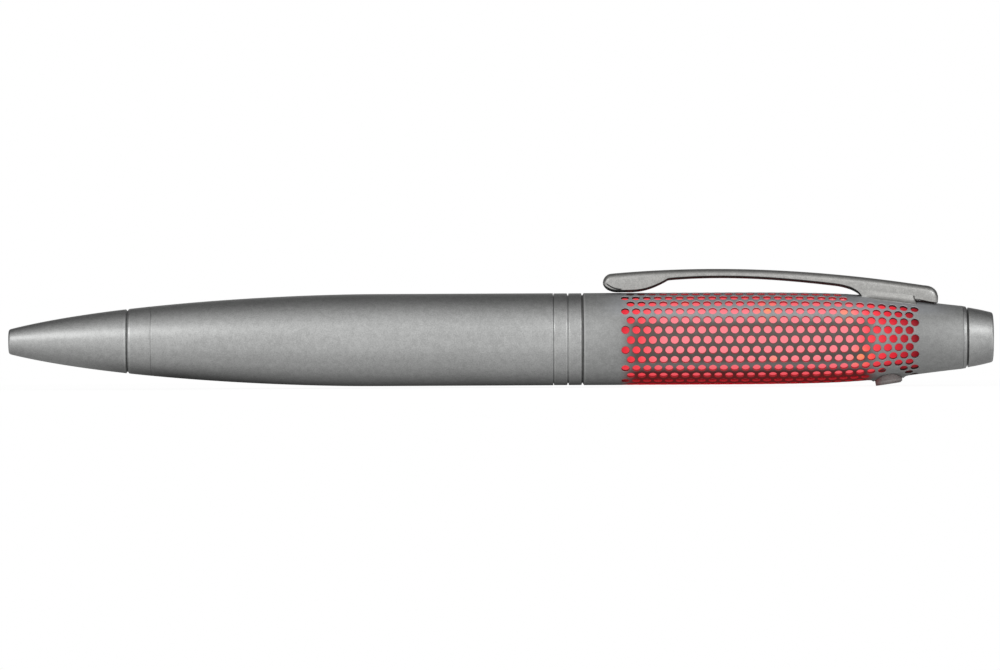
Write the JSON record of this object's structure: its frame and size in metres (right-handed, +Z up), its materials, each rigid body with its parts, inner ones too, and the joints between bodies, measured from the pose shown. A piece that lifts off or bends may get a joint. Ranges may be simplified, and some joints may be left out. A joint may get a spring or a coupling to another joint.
{
  "type": "light-up ballpoint pen",
  "caption": "Twist-action ballpoint pen with a tapered metal barrel, a perforated sleeve lit from inside, a sprung pocket clip and a small push button for the light.",
  "frame": {"origin": "on the surface that the pen stands on, below the middle of its box", "axes": "+X along the pen from the writing end to the tail, +Z up, towards the clip; +Y completes the right-handed set"},
  "size_m": [0.14, 0.0132, 0.0168],
  "materials": {
    "satin_metal": "fine blasted satin",
    "brass": "drawn",
    "bright_steel": "bright",
    "dark_plastic": "moulded",
    "natural_plastic": "moulded",
    "circuit_board": "solder mask",
    "lamp": "clear, lit",
    "diffuser": "milky, lit red",
    "smoke_plastic": "translucent smoke grey"
  },
  "bodies": {
    "lower_half": {"front_band": "satin_metal", "lower_barrel": "satin_metal", "centre_ring_front": "satin_metal", "centre_ring_rear": "satin_metal", "twist_guide": "natural_plastic", "bearing_bush": "dark_plastic"},
    "nose": {"nose_cone": "satin_metal", "return_spring": "bright_steel"},
    "refill_unit": {"refill_tip": "brass", "writing_ball": "bright_steel", "refill_tube": "brass", "refill_carrier": "dark_plastic"},
    "upper_half": {"upper_barrel": "satin_metal", "end_band": "satin_metal", "clip_mount": "satin_metal", "button_bezel": "satin_metal", "cam_sleeve": "brass", "diffuser_tube": "diffuser", "led_board": "circuit_board", "led_top_front": "lamp", "led_under_front": "lamp", "led_top_middle": "lamp", "led_under_middle": "lamp", "led_top_rear": "lamp", "led_under_rear": "lamp", "resistor": "dark_plastic", "switch_body": "dark_plastic", "battery_holder": "dark_plastic", "contact_plate": "brass", "cell_front": "bright_steel", "cell_rear": "bright_steel"},
    "light_button": {"light_button": "smoke_plastic", "switch_plunger": "natural_plastic"},
    "clip": {"clip": "satin_metal"},
    "tail_cap": {"tail_cap": "satin_metal", "contact_spring": "bright_steel"}
  },
  "joints": [
    {"name": "barrel_twist", "type": "hinge", "parent": "lower_half", "child": "upper_half", "pos_m": [0.01157, 0, 0.00688], "axis": [1, 0, 0], "range_deg": [0, 180]},
    {"name": "refill_slide", "type": "slide", "parent": "lower_half", "child": "refill_unit", "axis": [-1, 0, 0], "range_m": [0, 0.0045], "deforming": ["return_spring"]},
    {"name": "light_button_press", "type": "slide", "parent": "upper_half", "child": "light_button", "axis": [0, 0, 1], "range_m": [0, 0.0004], "stiffness_N_per_m": 4000, "springref_m": -0.0002},
    {"name": "clip_flex", "type": "hinge", "parent": "upper_half", "child": "clip", "pos_m": [0.0589, 0, 0.01295], "axis": [0, 1, 0], "range_deg": [0, 3], "stiffness_Nm_per_rad": 2, "springref_deg": -1.15},
    {"name": "cap_unscrew", "type": "slide", "parent": "upper_half", "child": "tail_cap", "axis": [1, 0, 0], "range_m": [0, 0.004], "deforming": ["contact_spring"]},
    {"name": "nose_unscrew", "type": "slide", "parent": "lower_half", "child": "nose", "axis": [-1, 0, 0], "range_m": [0, 0.004]}
  ],
  "couplings": [
    {"joint": "refill_slide", "follows": "barrel_twist", "m_per_rad": 0.0014324}
  ]
}
